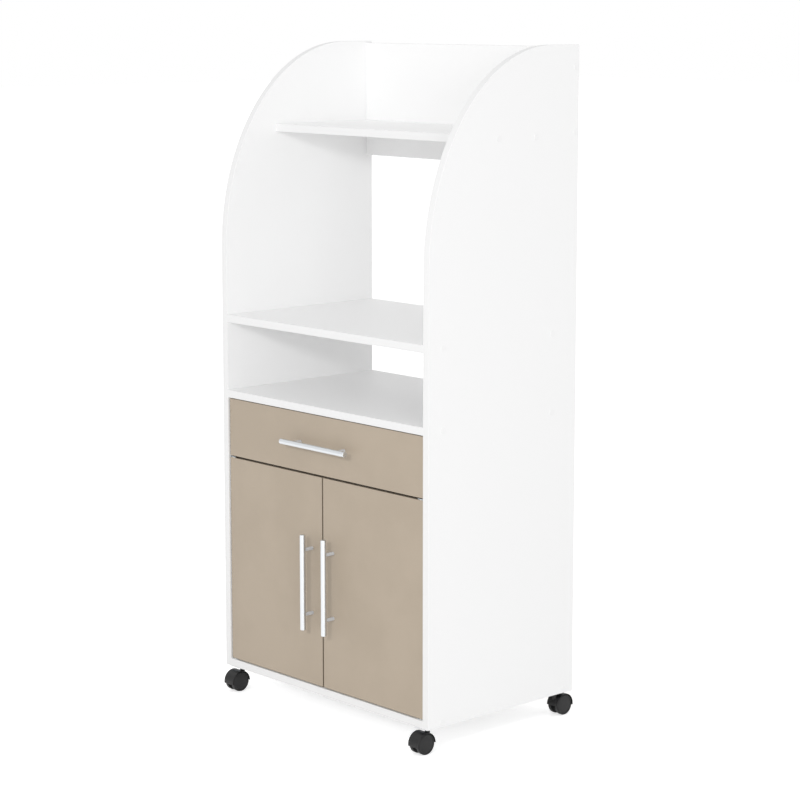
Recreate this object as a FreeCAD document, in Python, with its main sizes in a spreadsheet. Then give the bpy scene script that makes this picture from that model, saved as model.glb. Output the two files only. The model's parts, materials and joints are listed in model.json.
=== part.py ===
"""Microwave cart: white boards on four twin-wheel casters, with a drawer and two doors.

Frame: +X to the right seen from the front, the front faces -Y, +Z up, floor at z = 0.
All sizes are in mm. Each body is drawn in its own corner frame and placed afterwards.
"""
import FreeCAD, Part
import math
import os
import Sketcher
from FreeCAD import Vector

os.makedirs("parts", exist_ok=True)
doc = FreeCAD.newDocument("MicrowaveCart")

# ---------------------------------------------------------------- driving sizes
SIZES = {
    # carcass
    "cart_width": 600, "panel_depth": 385, "side_height": 1250, "board_thickness": 15,
    "arc_depth": 312, "arc_height": 400, "small_niche_height": 136,
    "top_shelf_drop": 176, "top_shelf_setback": 129, "upper_back_drop": 57, "upper_back_step": 4,
    "back_thickness": 3, "back_inset": 10, "groove_depth": 5, "groove_slack": 0.2,
    "stretcher_width": 60, "inner_shelf_level": 215, "inner_shelf_setback": 30, "shelf_slack": 1,
    # fronts and the gaps round them
    "front_thickness": 15, "front_setback": 3, "door_height": 413, "drawer_front_height": 115,
    "side_gap": 2.5, "centre_gap": 3.5, "drawer_gap": 4, "top_gap": 2, "stop_gap": 0.4,
    "part_gap": 0.3, "running_clearance": 0.05, "lap": 0.5,
    # pin hinges at the doors' outer corners
    "pin_inset": 7, "pin_setback": 5, "pin_diameter": 4, "pin_length": 9,
    "plate_thickness": 1.2, "plate_width": 16, "plate_length": 45, "plate_setback": 1,
    "bush_diameter": 7, "bush_length": 10, "flange_diameter": 9, "flange_thickness": 0.5,
    # drawer box and its roller runners
    "box_board": 12, "box_height": 85, "box_length": 340, "box_lift": 18, "box_groove_height": 8,
    "box_groove_depth": 4, "runner_space": 12.5, "runner_gauge": 1.2, "runner_overhang": 10,
    "runner_height": 24, "runner_flange": 9.5, "runner_drop": 2, "runner_setback": 1, "flange_play": 0.8,
    "member_gap": 2, "front_roller_diameter": 18.8, "rear_roller_diameter": 17,
    "front_roller_setback": 30, "rear_roller_inset": 10, "roller_width": 7, "roller_side_gap": 0.8,
    "roller_pin_diameter": 5, "roller_pin_overhang": 0.6,
    # bar handles
    "handle_projection": 30, "handle_length": 188, "handle_centres": 128, "bar_diameter": 11,
    "post_diameter": 7, "post_socket": 2.5, "handle_edge_inset": 29, "bar_chamfer": 0.8,
    # casters
    "caster_height": 50.5, "wheel_diameter": 40, "wheel_width": 8, "caster_trail": 14,
    "caster_side_inset": 25, "caster_end_inset": 22, "mount_plate_size": 38, "mount_plate_thickness": 2,
    "caster_web": 10, "hood_gap": 0.8, "hood_thickness": 1.4, "wheel_gap": 0.5, "axle_diameter": 5,
    "stem_diameter": 6, "stem_length": 19, "web_step": 0.5, "caster_hub_diameter": 18, "axle_end_gap": 0.5,
    "tread_chamfer": 1.2, "rim_chamfer": 2, "rim_width": 1.2, "face_slope": 0.6, "face_recess": 0.8,
    "face_thickness": 2,
    # screws, caps, dowels, shelf pins and the catch
    "screw_front_inset": 37, "screw_rear_line": 320, "bottom_screw_line": 360, "shelf_screw_line": 46,
    "shelf_screw_pitch": 97, "upper_screw_drop": 38, "lower_screw_rise": 71,
    "screw_shank": 6.8, "screw_head": 10, "screw_head_depth": 4, "screw_length": 48,
    "cap_diameter": 12, "cap_thickness": 0.8, "dowel_diameter": 8, "dowel_length": 30, "dowel_pitch": 32,
    "shelf_pin_diameter": 5, "shelf_pin_depth": 8, "shelf_pin_inset": 40,
    "catch_width": 44, "catch_height": 12, "catch_depth": 14, "strike_thickness": 1,
    "strike_width": 14, "strike_height": 9, "strike_inset": 3, "strike_drop": 0.5,
}

sheet = doc.addObject("Spreadsheet::Sheet", "Sizes")
for row, (alias, number) in enumerate(SIZES.items(), start=1):
    sheet.set(f"A{row}", alias)
    sheet.set(f"B{row}", str(number))
    sheet.setAlias(f"B{row}", alias)
doc.recompute()


class Size:
    """A length together with the spreadsheet expression that drives it."""

    def __init__(self, value, text):
        self.value, self.text = float(value), text

    def joined(self, other, sign, value):
        return Size(value, f"({self.text} {sign} {other.text})")

    def __add__(self, other):
        other = as_size(other)
        return self.joined(other, "+", self.value + other.value)

    def __sub__(self, other):
        other = as_size(other)
        return self.joined(other, "-", self.value - other.value)

    def __mul__(self, other):
        other = as_size(other)
        return self.joined(other, "*", self.value * other.value)

    def __truediv__(self, other):
        other = as_size(other)
        return self.joined(other, "/", self.value / other.value)

    def __rsub__(self, other):
        return as_size(other) - self

    def __neg__(self):
        return as_size(0) - self

    __radd__ = __add__
    __rmul__ = __mul__


def as_size(number):
    return number if isinstance(number, Size) else Size(number, f"{number:g}")


class Named:
    """Every driving size as an attribute, such as S.cart_width."""


S = Named()
for alias, number in SIZES.items():
    setattr(S, alias, Size(number, f"Sizes.{alias}"))

# ---------------------------------------------------------------- sizes that follow from them
HOOD_INNER = S.wheel_diameter / 2 + S.hood_gap
HOOD_OUTER = HOOD_INNER + S.hood_thickness
REAR_OVERHANG = HOOD_OUTER + S.caster_trail - S.caster_end_inset  # the hoods reach behind the panels
FRONT = (S.handle_projection - S.front_setback - S.panel_depth - REAR_OVERHANG) / 2  # centres on Y = 0
FACE = FRONT + S.front_setback  # the outer faces of the doors and the drawer
FRONT_BACK = S.front_setback + S.front_thickness
BASE = S.caster_height
INNER_WIDTH = S.cart_width - 2 * S.board_thickness
INNER_X = INNER_WIDTH / 2
PIVOT_GAP = S.plate_thickness + S.part_gap + S.flange_thickness
DOOR_BASE = S.board_thickness + PIVOT_GAP
DOOR_TOP = DOOR_BASE + S.door_height
STRETCHER_BASE = DOOR_TOP + PIVOT_GAP
DRAWER_BASE = DOOR_TOP + S.drawer_gap
COUNTER_BASE = DRAWER_BASE + S.drawer_front_height + S.top_gap
SHELF_BASE = COUNTER_BASE + S.board_thickness + S.small_niche_height
TOP_SHELF_BASE = S.side_height - S.top_shelf_drop
UPPER_BACK_BASE = TOP_SHELF_BASE - S.upper_back_drop
UPPER_BACK_TOP = S.side_height - S.upper_back_step
UPPER_BACK_FRONT = S.panel_depth - S.board_thickness
BACK_FRONT = S.panel_depth - S.back_inset - S.back_thickness
GROOVE_WIDTH = S.back_thickness + S.groove_slack
DOOR_WIDTH = (INNER_WIDTH - 2 * S.side_gap - S.centre_gap) / 2
DRAWER_FRONT_WIDTH = INNER_WIDTH - 2 * S.side_gap
BOX_BASE = DRAWER_BASE + S.box_lift
RUNNER_BASE = BOX_BASE - S.runner_drop
RUNNER_FRONT = FRONT_BACK + S.runner_setback
RUNNER_LENGTH = S.box_length + S.runner_overhang
BOX_HALF = INNER_X - S.runner_space
AXLE_LEVEL = S.wheel_diameter / 2
HOUSING_TOP = S.caster_height - S.mount_plate_thickness - S.part_gap
BAR_RADIUS = S.bar_diameter / 2
BAR_LINE = S.handle_projection - BAR_RADIUS  # from the fronts to the bar's axis


# ---------------------------------------------------------------- drawing helpers
parts = []


def body(label):
    new = doc.addObject("PartDesign::Body", "".join(w.title() for w in label.split("_")))
    new.Label = label
    parts.append(new)
    return new


def sketch(owner, plane, offset=None):
    """A sketch on one of the body's own origin planes, moved along its normal by offset."""
    new = owner.newObject("Sketcher::SketchObject", f"{owner.Name}Sketch")
    support = next(f for f in owner.Origin.OriginFeatures if f.Role == plane)
    new.AttachmentSupport = [(support, "")]
    new.MapMode = "FlatFace"
    if offset is not None:
        new.AttachmentOffset = FreeCAD.Placement(Vector(0, 0, offset.value), FreeCAD.Rotation())
        new.setExpression("AttachmentOffset.Base.z", offset.text)
    return new


def fix(sk, kind, where, size):
    """A driven dimension; where is the tail of the constraint's argument list."""
    index = sk.addConstraint(Sketcher.Constraint(kind, *where, size.value))
    sk.renameConstraint(index, f"size{index}")
    sk.setExpression(f"Constraints.size{index}", size.text)


def fix_point(sk, geometry, point, x, y):
    """Holds one point at x, y from the sketch's origin."""
    for kind, axis, size in (("DistanceX", -2, x), ("DistanceY", -1, y)):
        if size.value == 0:
            sk.addConstraint(Sketcher.Constraint("PointOnObject", geometry, point, axis))
        else:
            fix(sk, kind, (-1, 1, geometry, point), size)


def polygon(sk, corners):
    """A closed outline through corners, each one held from the origin."""
    corners = [(as_size(x), as_size(y)) for x, y in corners]
    ends = [Vector(x.value, y.value, 0) for x, y in corners]
    lines = [sk.addGeometry(Part.LineSegment(a, b), False) for a, b in zip(ends, ends[1:] + ends[:1])]
    for line, after in zip(lines, lines[1:] + lines[:1]):
        sk.addConstraint(Sketcher.Constraint("Coincident", line, 2, after, 1))
    for line, (x, y) in zip(lines, corners):
        fix_point(sk, line, 1, x, y)


def rectangle(sk, x, y, width, height):
    x, y = as_size(x), as_size(y)
    polygon(sk, [(x, y), (x + width, y), (x + width, y + height), (x, y + height)])


def circle(sk, x, y, radius):
    x, y, radius = as_size(x), as_size(y), as_size(radius)
    new = sk.addGeometry(Part.Circle(Vector(x.value, y.value, 0), Vector(0, 0, 1), radius.value), False)
    fix_point(sk, new, 3, x, y)
    fix(sk, "Radius", (new,), radius)


def pad(owner, sk, length, back=False):
    length = as_size(length)
    new = owner.newObject("PartDesign::Pad", f"{owner.Name}Pad")
    new.Profile = sk
    new.Length = length.value
    new.setExpression("Length", length.text)
    new.Reversed = back
    sk.Visibility = False
    return new


def pocket(owner, sk, depth, back=False):
    """Cuts against the sketch's normal, or along it when back is true."""
    depth = as_size(depth)
    new = owner.newObject("PartDesign::Pocket", f"{owner.Name}Pocket")
    new.Profile = sk
    new.Length = depth.value
    new.setExpression("Length", depth.text)
    new.Reversed = back
    sk.Visibility = False
    return new


def revolve(owner, sk):
    """Turns the profile a full turn about the sketch's horizontal axis."""
    new = owner.newObject("PartDesign::Revolution", f"{owner.Name}Revolution")
    new.Profile = sk
    new.ReferenceAxis = (sk, ["H_Axis"])
    new.Angle = 360
    sk.Visibility = False
    return new


def place(thing, x, y, z, rotation=None):
    sizes = [as_size(v) for v in (x, y, z)]
    thing.Placement = FreeCAD.Placement(Vector(*[s.value for s in sizes]), rotation or FreeCAD.Rotation())
    for axis, size in zip("xyz", sizes):
        thing.setExpression(f"Placement.Base.{axis}", size.text)
    return thing


def board(label, size, corner):
    """A plain board: length, width and height along X, Y and Z, placed by its low corner."""
    new = body(label)
    sk = sketch(new, "XY_Plane")
    rectangle(sk, 0, 0, size[0], size[1])
    pad(new, sk, size[2])
    return place(new, *corner)


def end_holes(owner, spots, radius, depth, width):
    """Blind holes along X in both ends of a board; spots are (y, z) in its own frame."""
    for offset, back in ((None, True), (as_size(width), False)):
        sk = sketch(owner, "YZ_Plane", offset)
        for y, z in spots:
            circle(sk, y, z, radius)
        pocket(owner, sk, depth, back)


def primitive(kind, name, sizes, corner, rotation=None):
    """A Part primitive with driven sizes, used inside a fused or cut part."""
    new = doc.addObject(f"Part::{kind}", name)
    for key, size in sizes.items():
        size = as_size(size)
        setattr(new, key, size.value)
        new.setExpression(key, size.text)
    return place(new, *corner, rotation)


def fused(label, pieces, holes=(), corner=(0, 0, 0), rotation=None):
    """One part from primitives: the pieces joined, then the holes cut out."""
    name = "".join(w.title() for w in label.split("_"))
    solid = doc.addObject("Part::MultiFuse", f"{name}Solid")
    solid.Shapes = list(pieces)
    solid.Refine = True
    if holes:
        tool = holes[0]
        if len(holes) > 1:
            tool = doc.addObject("Part::MultiFuse", f"{name}Holes")
            tool.Shapes = list(holes)
        cut = doc.addObject("Part::Cut", name)
        cut.Base, cut.Tool = solid, tool
        solid = cut
    solid.Label = label
    parts.append(solid)
    return place(solid, *corner, rotation)


ALONG_X = FreeCAD.Rotation(Vector(0, 1, 0), 90)
ALONG_MINUS_X = FreeCAD.Rotation(Vector(0, 1, 0), -90)
ALONG_Y = FreeCAD.Rotation(Vector(1, 0, 0), -90)

# ---------------------------------------------------------------- the ten screw spots on each side panel
HALF_BOARD = S.board_thickness / 2
SHELF_SPOTS = [(S.screw_front_inset, HALF_BOARD), (S.screw_rear_line, HALF_BOARD)]
BOTTOM_SPOTS = [(S.screw_front_inset, HALF_BOARD), (S.bottom_screw_line, HALF_BOARD)]
TOP_SHELF_SPOTS = [(S.shelf_screw_line, HALF_BOARD), (S.shelf_screw_line + S.shelf_screw_pitch, HALF_BOARD)]
UPPER_BACK_SPOTS = [
    (HALF_BOARD, S.lower_screw_rise),
    (HALF_BOARD, UPPER_BACK_TOP - UPPER_BACK_BASE - S.upper_screw_drop),
]
SCREW_SPOTS = (
    BOTTOM_SPOTS
    + [(y, COUNTER_BASE + z) for y, z in SHELF_SPOTS]
    + [(y, SHELF_BASE + z) for y, z in SHELF_SPOTS]
    + [(S.top_shelf_setback + y, TOP_SHELF_BASE + z) for y, z in TOP_SHELF_SPOTS]
    + [(UPPER_BACK_FRONT + y, UPPER_BACK_BASE + z) for y, z in UPPER_BACK_SPOTS]
)
SCREW_IN_BOARD = S.screw_length - S.board_thickness
SHANK_HOLE = S.screw_shank / 2 + S.running_clearance
STRETCHER_FRONT = FRONT_BACK + S.stop_gap
DOWEL_SPOTS = [
    ((S.stretcher_width - S.dowel_pitch) / 2 + n * S.dowel_pitch, HALF_BOARD) for n in (0, 1)
]
DOWEL_HOLE = S.dowel_diameter / 2 + S.running_clearance
DOWEL_IN_SIDE = S.dowel_length / 3
INNER_SHELF_DEPTH = BACK_FRONT - S.inner_shelf_setback - S.shelf_slack
SHELF_PIN_SPOTS = [
    (S.inner_shelf_setback + S.shelf_pin_inset, S.inner_shelf_level - S.shelf_pin_diameter / 2),
    (S.inner_shelf_setback + INNER_SHELF_DEPTH - S.shelf_pin_inset,
     S.inner_shelf_level - S.shelf_pin_diameter / 2),
]


# ---------------------------------------------------------------- carcass
def side_panel(label, left):
    """The tall side with its rounded front corner, drilled and grooved on the inside."""
    new = body(label)
    sk = sketch(new, "YZ_Plane")
    depth, height = S.panel_depth, S.side_height
    start = S.side_height - S.arc_height
    low_front, low_rear = Vector(0, 0, 0), Vector(depth.value, 0, 0)
    top_rear, top_front = Vector(depth.value, height.value, 0), Vector(S.arc_depth.value, height.value, 0)
    arc_end, centre = Vector(0, start.value, 0), Vector(S.arc_depth.value, start.value, 0)
    floor = sk.addGeometry(Part.LineSegment(low_front, low_rear), False)
    rear = sk.addGeometry(Part.LineSegment(low_rear, top_rear), False)
    top = sk.addGeometry(Part.LineSegment(top_rear, top_front), False)
    arc = sk.addGeometry(Part.ArcOfEllipse(Part.Ellipse(top_front, arc_end, centre), 0, math.pi / 2), False)
    front = sk.addGeometry(Part.LineSegment(arc_end, low_front), False)
    sk.exposeInternalGeometry(arc)
    major, minor = front + 1, front + 2
    for pair in ((floor, 2, rear, 1), (rear, 2, top, 1), (top, 2, arc, 1), (arc, 2, front, 1),
                 (front, 2, floor, 1), (arc, 1, major, 1), (arc, 2, minor, 1)):
        sk.addConstraint(Sketcher.Constraint("Coincident", *pair))
    fix_point(sk, floor, 1, as_size(0), as_size(0))
    fix_point(sk, rear, 1, depth, as_size(0))
    fix_point(sk, top, 1, depth, height)
    fix_point(sk, arc, 3, S.arc_depth, start)
    sk.addConstraint(Sketcher.Constraint("Horizontal", top))
    sk.addConstraint(Sketcher.Constraint("Vertical", front))
    sk.addConstraint(Sketcher.Constraint("Vertical", major))
    pad(new, sk, S.board_thickness)

    # holes from outside run along +X on the left panel and -X on the right one
    outer, inner = (None, S.board_thickness) if left else (S.board_thickness, None)
    for radius, deep in ((SHANK_HOLE, S.board_thickness),
                         (S.screw_head / 2 + S.running_clearance, S.screw_head_depth)):
        sk = sketch(new, "YZ_Plane", outer)
        for y, z in SCREW_SPOTS:
            circle(sk, y, z, radius)
        pocket(new, sk, deep, left)
    sk = sketch(new, "YZ_Plane", inner)
    for y, z in DOWEL_SPOTS:
        circle(sk, STRETCHER_FRONT + y, STRETCHER_BASE + z, DOWEL_HOLE)
    pocket(new, sk, DOWEL_IN_SIDE + S.part_gap, not left)
    sk = sketch(new, "YZ_Plane", inner)
    for y, z in SHELF_PIN_SPOTS:
        circle(sk, y, z, S.shelf_pin_diameter / 2 + S.running_clearance)
    pocket(new, sk, S.shelf_pin_depth, not left)
    sk = sketch(new, "YZ_Plane", inner)
    rectangle(sk, BACK_FRONT, S.board_thickness - S.groove_depth, GROOVE_WIDTH,
              COUNTER_BASE - S.board_thickness + 2 * S.groove_depth)
    pocket(new, sk, S.groove_depth, not left)
    return place(new, -S.cart_width / 2 if left else INNER_X, FRONT, BASE)


def grooved_board(label, height, groove_on_top):
    """A full-depth board between the sides, with the groove for the cabinet's back."""
    new = board(label, (INNER_WIDTH, S.panel_depth, S.board_thickness), (-INNER_X, FRONT, BASE + height))
    sk = sketch(new, "XY_Plane", S.board_thickness if groove_on_top else None)
    rectangle(sk, 0, BACK_FRONT, INNER_WIDTH, GROOVE_WIDTH)
    pocket(new, sk, S.groove_depth, not groove_on_top)
    return new


side_panel("side_panel_left", True)
side_panel("side_panel_right", False)
bottom = grooved_board("bottom_panel", as_size(0), True)
end_holes(bottom, BOTTOM_SPOTS, SHANK_HOLE, SCREW_IN_BOARD, INNER_WIDTH)
counter = grooved_board("counter_panel", COUNTER_BASE, False)
end_holes(counter, SHELF_SPOTS, SHANK_HOLE, SCREW_IN_BOARD, INNER_WIDTH)
shelf = board("microwave_shelf", (INNER_WIDTH, S.panel_depth, S.board_thickness),
              (-INNER_X, FRONT, BASE + SHELF_BASE))
end_holes(shelf, SHELF_SPOTS, SHANK_HOLE, SCREW_IN_BOARD, INNER_WIDTH)
top_shelf = board("top_shelf", (INNER_WIDTH, UPPER_BACK_FRONT - S.top_shelf_setback, S.board_thickness),
                  (-INNER_X, FRONT + S.top_shelf_setback, BASE + TOP_SHELF_BASE))
end_holes(top_shelf, TOP_SHELF_SPOTS, SHANK_HOLE, SCREW_IN_BOARD, INNER_WIDTH)
upper_back = board("upper_back_panel", (INNER_WIDTH, S.board_thickness, UPPER_BACK_TOP - UPPER_BACK_BASE),
                   (-INNER_X, FRONT + UPPER_BACK_FRONT, BASE + UPPER_BACK_BASE))
end_holes(upper_back, UPPER_BACK_SPOTS, SHANK_HOLE, SCREW_IN_BOARD, INNER_WIDTH)
stretcher = board("front_stretcher", (INNER_WIDTH, S.stretcher_width, S.board_thickness),
                  (-INNER_X, FRONT + STRETCHER_FRONT, BASE + STRETCHER_BASE))
end_holes(stretcher, DOWEL_SPOTS, DOWEL_HOLE, S.dowel_length - DOWEL_IN_SIDE + S.part_gap, INNER_WIDTH)

# the thin back stands in the bottom panel's groove and reaches into the other three
BACK_REACH = S.groove_depth - S.part_gap
board("cabinet_back_panel",
      (INNER_WIDTH + 2 * BACK_REACH, S.back_thickness,
       COUNTER_BASE - S.board_thickness + S.groove_depth + BACK_REACH),
      (-INNER_X - BACK_REACH, FRONT + BACK_FRONT + S.groove_slack / 2,
       BASE + S.board_thickness - S.groove_depth))
board("inner_shelf", (INNER_WIDTH - S.shelf_slack, INNER_SHELF_DEPTH, S.board_thickness),
      (-INNER_X + S.shelf_slack / 2, FRONT + S.inner_shelf_setback, BASE + S.inner_shelf_level))


# ---------------------------------------------------------------- screws, caps, dowels and shelf pins
def both_sides(spots, piece):
    """The same small piece at every spot, on the left and on the right side."""
    made = []
    for count, (y, z) in enumerate(spots):
        for sign, rotation in ((-1, ALONG_X), (1, ALONG_MINUS_X)):
            made += piece(f"{count}{'L' if sign < 0 else 'R'}", sign, rotation, y, BASE + z)
    return made


def screw(tag, sign, rotation, y, z):
    """Head in its counterbore and shank through the side into the board's end."""
    head_x, shank_x = sign * (S.cart_width / 2), sign * (S.cart_width / 2 - S.screw_head_depth + S.lap)
    return [
        primitive("Cylinder", f"ScrewHead{tag}",
                  {"Radius": S.screw_head / 2, "Height": S.screw_head_depth}, (head_x, FRONT + y, z), rotation),
        primitive("Cylinder", f"ScrewShank{tag}",
                  {"Radius": S.screw_shank / 2, "Height": S.screw_length - S.screw_head_depth},
                  (shank_x, FRONT + y, z), rotation),
    ]


def cap(tag, sign, rotation, y, z):
    """A flat plastic cover over the screw's head."""
    return [primitive("Cylinder", f"Cap{tag}", {"Radius": S.cap_diameter / 2, "Height": S.cap_thickness},
                      (sign * (S.cart_width / 2 + S.cap_thickness), FRONT + y, z), rotation)]


def dowel(tag, sign, rotation, y, z):
    return [primitive("Cylinder", f"Dowel{tag}", {"Radius": S.dowel_diameter / 2, "Height": S.dowel_length},
                      (sign * (INNER_X + DOWEL_IN_SIDE), FRONT + y, z), rotation)]


def shelf_pin(tag, sign, rotation, y, z):
    return [primitive("Cylinder", f"ShelfPin{tag}",
                      {"Radius": S.shelf_pin_diameter / 2, "Height": 2 * S.shelf_pin_depth},
                      (sign * (INNER_X + S.shelf_pin_depth), FRONT + y, z), rotation)]


fused("carcass_screws", both_sides(SCREW_SPOTS, screw))
fused("screw_caps", both_sides(SCREW_SPOTS, cap))
fused("stretcher_dowels",
      both_sides([(STRETCHER_FRONT + y, STRETCHER_BASE + z) for y, z in DOWEL_SPOTS], dowel))
fused("shelf_support_pins", both_sides(SHELF_PIN_SPOTS, shelf_pin))

# ---------------------------------------------------------------- pin hinges
PIN_X = INNER_X - S.side_gap - S.pin_inset  # the doors' pivot lines, at plus and minus this X


def pivot_plates(label, level, pin_up):
    """A flat steel plate at each side, with the pin that the door there turns on."""
    tag = label.title().replace("_", "")
    pieces = []
    for side, sign in (("Left", -1), ("Right", 1)):
        pieces += [
            primitive("Box", f"{tag}Leaf{side}",
                      {"Length": S.plate_width, "Width": S.plate_length, "Height": S.plate_thickness},
                      (sign * PIN_X - S.plate_width / 2, S.plate_setback - S.pin_setback, 0)),
            primitive("Cylinder", f"{tag}Pin{side}",
                      {"Radius": S.pin_diameter / 2, "Height": S.pin_length + S.lap},
                      (sign * PIN_X, 0, S.plate_thickness - S.lap if pin_up else -S.pin_length)),
        ]
    fused(label, pieces, corner=(0, FACE + S.pin_setback, BASE + level))


pivot_plates("lower_pivot_plates", S.board_thickness, True)
pivot_plates("upper_pivot_plates", STRETCHER_BASE - S.plate_thickness, False)

# ---------------------------------------------------------------- catch under the stretcher
CATCH_FRONT = FRONT_BACK + S.strike_thickness + S.part_gap
board("magnetic_catch", (S.catch_width, S.catch_depth, S.catch_height),
      (-S.catch_width / 2, FRONT + CATCH_FRONT, BASE + STRETCHER_BASE - S.catch_height))

# ---------------------------------------------------------------- drawer runners
FLANGE_TOP = S.runner_height - S.runner_gauge - S.flange_play  # top of the drawer member's outward flange
FLANGE_LEVEL = FLANGE_TOP - S.runner_gauge
FRONT_ROLLER_LEVEL = FLANGE_LEVEL - S.part_gap - S.front_roller_diameter / 2
REAR_ROLLER_LEVEL = S.runner_gauge + S.part_gap + S.rear_roller_diameter / 2
ROLLER_SIDE = S.runner_gauge + S.roller_side_gap  # from the side panel to a front roller
REAR_ROLLER_SIDE = S.runner_space - S.runner_gauge - S.roller_side_gap - S.roller_width
REAR_ROLLER_LINE = RUNNER_LENGTH - S.rear_roller_inset


def runner_profile(label, sign, outline, pin):
    """A folded steel profile of runner length, mirrored for the right side, and its roller's pin."""
    new = body(label)
    sk = sketch(new, "XZ_Plane")
    if sign < 0:
        polygon(sk, outline)
    else:
        polygon(sk, [(S.runner_space + S.box_board - x, z) for x, z in reversed(outline)])
    pad(new, sk, RUNNER_LENGTH, True)
    start, length, y, z = pin
    sk = sketch(new, "YZ_Plane", start if sign < 0 else S.runner_space + S.box_board - start - length)
    circle(sk, y, z, S.roller_pin_diameter / 2)
    pad(new, sk, length)
    corner = -INNER_X if sign < 0 else INNER_X - S.runner_space - S.box_board
    return place(new, corner, FRONT + RUNNER_FRONT, BASE + RUNNER_BASE)


def fixed_runner(label, sign):
    """The channel screwed to the side panel; the front roller turns on its pin."""
    gauge, flange, height = S.runner_gauge, S.runner_flange, S.runner_height
    outline = [(0, 0), (flange, 0), (flange, gauge), (gauge, gauge), (gauge, height - gauge),
               (flange, height - gauge), (flange, height), (0, height)]
    reach = S.lap + S.roller_side_gap + S.roller_width + S.roller_pin_overhang
    pin = (gauge - S.lap, reach, S.front_roller_setback - RUNNER_FRONT, FRONT_ROLLER_LEVEL)
    return runner_profile(label, sign, outline, pin)


def moving_runner(label, sign):
    """The angle under the drawer's side; its top flange rides on the front roller."""
    gauge, space = S.runner_gauge, S.runner_space
    web, ledge = space - gauge, space + S.box_board
    low = BOX_BASE - RUNNER_BASE - gauge
    outline = [(web, low), (ledge, low), (ledge, low + gauge), (space, low + gauge), (space, FLANGE_TOP),
               (gauge + S.member_gap, FLANGE_TOP), (gauge + S.member_gap, FLANGE_LEVEL),
               (web, FLANGE_LEVEL)]
    pin_start = REAR_ROLLER_SIDE - S.roller_side_gap
    pin = (pin_start, web - pin_start + S.lap, REAR_ROLLER_LINE, REAR_ROLLER_LEVEL)
    return runner_profile(label, sign, outline, pin)


def roller(label, sign, diameter, side, y, level):
    """A plain nylon roller on a running fit."""
    new = body(label)
    sk = sketch(new, "YZ_Plane")
    circle(sk, 0, 0, diameter / 2)
    circle(sk, 0, 0, S.roller_pin_diameter / 2 + S.running_clearance)
    pad(new, sk, S.roller_width)
    x = -INNER_X + side if sign < 0 else INNER_X - side - S.roller_width
    return place(new, x, FRONT + y, BASE + RUNNER_BASE + level)


for side, sign in (("left", -1), ("right", 1)):
    fixed_runner(f"fixed_runner_{side}", sign)
    moving_runner(f"moving_runner_{side}", sign)
    roller(f"front_roller_{side}", sign, S.front_roller_diameter, ROLLER_SIDE,
           S.front_roller_setback, FRONT_ROLLER_LEVEL)
    roller(f"rear_roller_{side}", sign, S.rear_roller_diameter, REAR_ROLLER_SIDE,
           RUNNER_FRONT + REAR_ROLLER_LINE, REAR_ROLLER_LEVEL)

# ---------------------------------------------------------------- drawer
BOX_BOTTOM = S.box_groove_height + S.back_thickness  # top face of the drawer's bottom
drawer_front = board("drawer_front", (DRAWER_FRONT_WIDTH, S.front_thickness, S.drawer_front_height),
                     (-DRAWER_FRONT_WIDTH / 2, FACE, BASE + DRAWER_BASE))
BOX_GROOVE_LENGTH = 2 * (BOX_HALF - S.box_board + S.box_groove_depth)
sk = sketch(drawer_front, "XZ_Plane", -S.front_thickness)
rectangle(sk, (DRAWER_FRONT_WIDTH - BOX_GROOVE_LENGTH) / 2, S.box_lift + S.box_groove_height,
          BOX_GROOVE_LENGTH, GROOVE_WIDTH)
pocket(drawer_front, sk, S.box_groove_depth, True)
for side, sign in (("left", -1), ("right", 1)):
    wall = board(f"drawer_side_{side}", (S.box_board, S.box_length, S.box_height),
                 (-BOX_HALF if sign < 0 else BOX_HALF - S.box_board,
                  FRONT + FRONT_BACK, BASE + BOX_BASE))
    sk = sketch(wall, "YZ_Plane", S.box_board if sign < 0 else None)
    rectangle(sk, 0, S.box_groove_height, S.box_length, GROOVE_WIDTH)
    pocket(wall, sk, S.box_groove_depth, sign > 0)
BOX_INSIDE = 2 * (BOX_HALF - S.box_board)
BOX_REAR = FRONT_BACK + S.box_length
board("drawer_back", (BOX_INSIDE, S.box_board, S.box_height - BOX_BOTTOM),
      (-BOX_INSIDE / 2, FRONT + BOX_REAR - S.box_board, BASE + BOX_BASE + BOX_BOTTOM))
BOTTOM_REACH = S.box_groove_depth - S.part_gap
board("drawer_bottom",
      (BOX_INSIDE + 2 * BOTTOM_REACH, S.box_length + BOTTOM_REACH, S.back_thickness),
      (-BOX_INSIDE / 2 - BOTTOM_REACH, FRONT + FRONT_BACK - BOTTOM_REACH,
       BASE + BOX_BASE + S.box_groove_height))


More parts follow.
